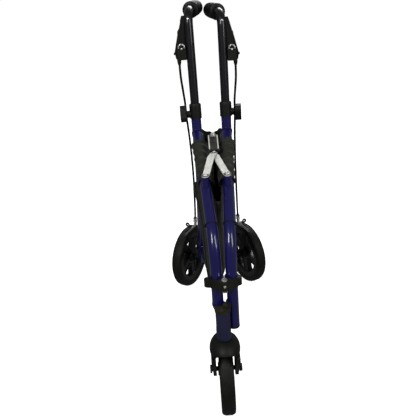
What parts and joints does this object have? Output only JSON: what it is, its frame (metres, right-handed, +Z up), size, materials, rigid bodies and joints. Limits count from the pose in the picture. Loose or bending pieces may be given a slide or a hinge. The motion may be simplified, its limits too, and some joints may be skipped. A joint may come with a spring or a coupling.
{
  "type": "rollator walker",
  "caption": "Three-wheeled folding walker, folded: two hinged side frames, swivel front wheel, toed rear wheels, hand brakes, telescopic handles, folding brace and bag.",
  "frame": {"origin": "middle of the footprint of the folded walker, on the floor", "axes": "+Z up, the walker's front faces -Y, +X to the right of someone facing the walker's front"},
  "size_m": [0.2802, 0.6942, 0.832],
  "materials": {
    "paint": "gloss navy paint",
    "black_paint": "gloss black paint",
    "black_plastic": "satin black",
    "rubber": "matt black",
    "tyre": "matt black",
    "zinc": "bright zinc",
    "fabric": "woven nylon"
  },
  "bodies": {
    "right_frame": {"right_main_tube": "paint", "right_upright_leg": "black_plastic", "right_lower_strut": "paint", "right_hinge_half": "black_plastic", "right_clamp_collar": "black_plastic", "right_wheel_bracket": "black_paint", "right_rear_axle": "zinc", "right_cable_adjuster": "zinc", "right_brake_cable": "black_plastic", "right_brace_post": "paint", "right_brace_screw": "zinc", "right_bag_sleeve": "fabric", "hinge_pin": "zinc", "stem_tube": "paint", "stem_bearing": "zinc", "stem_collar": "black_plastic", "bag": "fabric"},
    "left_frame": {"left_main_tube": "paint", "left_upright_leg": "black_plastic", "left_lower_strut": "paint", "left_hinge_half": "black_plastic", "left_clamp_collar": "black_plastic", "left_wheel_bracket": "black_paint", "left_rear_axle": "zinc", "left_cable_adjuster": "zinc", "left_brake_cable": "black_plastic", "left_brace_post": "paint", "left_brace_screw": "zinc", "left_bag_sleeve": "fabric", "left_tube_cap": "black_plastic", "left_lower_knuckle": "black_plastic"},
    "caster": {"caster_fork": "black_plastic", "caster_kingpin": "zinc", "front_axle": "zinc", "front_axle_nut": "zinc"},
    "front_wheel": {"front_tyre": "tyre", "front_hub": "black_plastic"},
    "right_rear_wheel": {"right_rear_tyre": "tyre", "right_rear_hub": "black_plastic"},
    "right_handle": {"right_handle_tube": "black_paint", "right_grip": "rubber", "right_brake_housing": "black_plastic"},
    "right_lever": {"right_brake_lever": "black_plastic"},
    "right_knob": {"right_clamp_knob": "black_plastic"},
    "right_brake_shoe": {"right_brake_arm": "black_plastic"},
    "right_link": {"right_brace_link": "zinc", "brace_rivet": "zinc"},
    "left_rear_wheel": {"left_rear_tyre": "tyre", "left_rear_hub": "black_plastic"},
    "left_handle": {"left_handle_tube": "black_paint", "left_grip": "rubber", "left_brake_housing": "black_plastic"},
    "left_lever": {"left_brake_lever": "black_plastic"},
    "left_knob": {"left_clamp_knob": "black_plastic"},
    "left_brake_shoe": {"left_brake_arm": "black_plastic"},
    "left_link": {"left_brace_link": "zinc"},
    "lock": {"lock_channel": "zinc", "lock_knob": "zinc"}
  },
  "joints": [
    {"name": "fold", "type": "hinge", "parent": "right_frame", "child": "left_frame", "pos_m": [0, -0.30606, 0.34], "axis": [0, 0, -1], "range_deg": [0, 54]},
    {"name": "caster_swivel", "type": "hinge", "parent": "right_frame", "child": "caster", "pos_m": [-0.007, -0.30406, 0.232], "axis": [0, 0, 1], "continuous": true},
    {"name": "front_wheel_spin", "type": "hinge", "parent": "caster", "child": "front_wheel", "pos_m": [-0.007, -0.25206, 0.095], "axis": [1, 0, 0], "continuous": true},
    {"name": "right_rear_wheel_spin", "type": "hinge", "parent": "right_frame", "child": "right_rear_wheel", "pos_m": [-0.08769, 0.25965, 0.095], "axis": [-0.891, 0.454, 0], "continuous": true},
    {"name": "right_handle_slide", "type": "slide", "parent": "right_frame", "child": "right_handle", "axis": [-0.0072, 0.1051, 0.9944], "range_m": [-0.045, 0.045], "deforming": ["right_brake_cable"]},
    {"name": "right_lever_squeeze", "type": "hinge", "parent": "right_handle", "child": "right_lever", "pos_m": [-0.05619, 0.01373, 0.728], "axis": [0.9977, 0.068, 0], "range_deg": [0, 6], "stiffness_Nm_per_rad": 2, "springref_deg": -5.73},
    {"name": "right_shoe_press", "type": "hinge", "parent": "right_frame", "child": "right_brake_shoe", "pos_m": [-0.08388, 0.21955, 0.196], "axis": [-0.891, 0.454, 0], "range_deg": [0, 5.1]},
    {"name": "right_knob_turn", "type": "hinge", "parent": "right_frame", "child": "right_knob", "pos_m": [-0.05838, -0.013, 0.601], "axis": [-0.9977, -0.068, 0], "range_deg": [0, 360]},
    {"name": "right_brace_turn", "type": "hinge", "parent": "right_frame", "child": "right_link", "pos_m": [-0.02232, -0.17433, 0.5115], "axis": [0, 0, -1], "range_deg": [0, 101.3]},
    {"name": "left_rear_wheel_spin", "type": "hinge", "parent": "left_frame", "child": "left_rear_wheel", "pos_m": [0.08769, 0.25965, 0.095], "axis": [0.891, 0.454, 0], "continuous": true},
    {"name": "left_handle_slide", "type": "slide", "parent": "left_frame", "child": "left_handle", "axis": [0.0072, 0.1051, 0.9944], "range_m": [-0.045, 0.045], "deforming": ["left_brake_cable"]},
    {"name": "left_lever_squeeze", "type": "hinge", "parent": "left_handle", "child": "left_lever", "pos_m": [0.05614, 0.01294, 0.72054], "axis": [0.9977, -0.068, 0], "range_deg": [0, 6], "stiffness_Nm_per_rad": 2, "springref_deg": -5.73},
    {"name": "left_shoe_press", "type": "hinge", "parent": "left_frame", "child": "left_brake_shoe", "pos_m": [0.08388, 0.21955, 0.196], "axis": [-0.891, -0.454, 0], "range_deg": [0, 5.1]},
    {"name": "left_knob_turn", "type": "hinge", "parent": "left_frame", "child": "left_knob", "pos_m": [0.05838, -0.013, 0.601], "axis": [0.9977, -0.068, 0], "range_deg": [0, 360]},
    {"name": "left_brace_turn", "type": "hinge", "parent": "left_frame", "child": "left_link", "pos_m": [0.02232, -0.17433, 0.5115], "axis": [0, 0, 1], "range_deg": [0, 101.3]},
    {"name": "lock_lift", "type": "hinge", "parent": "right_link", "child": "lock", "pos_m": [0, -0.1066, 0.54375], "axis": [1, 0, 0], "range_deg": [0, 60]}
  ],
  "couplings": [
    {"joint": "right_shoe_press", "follows": "right_lever_squeeze", "ratio": 0.84},
    {"joint": "right_brace_turn", "follows": "fold", "ratio": 1.8655},
    {"joint": "left_shoe_press", "follows": "left_lever_squeeze", "ratio": 0.84},
    {"joint": "left_brace_turn", "follows": "fold", "ratio": 1.8655}
  ]
}
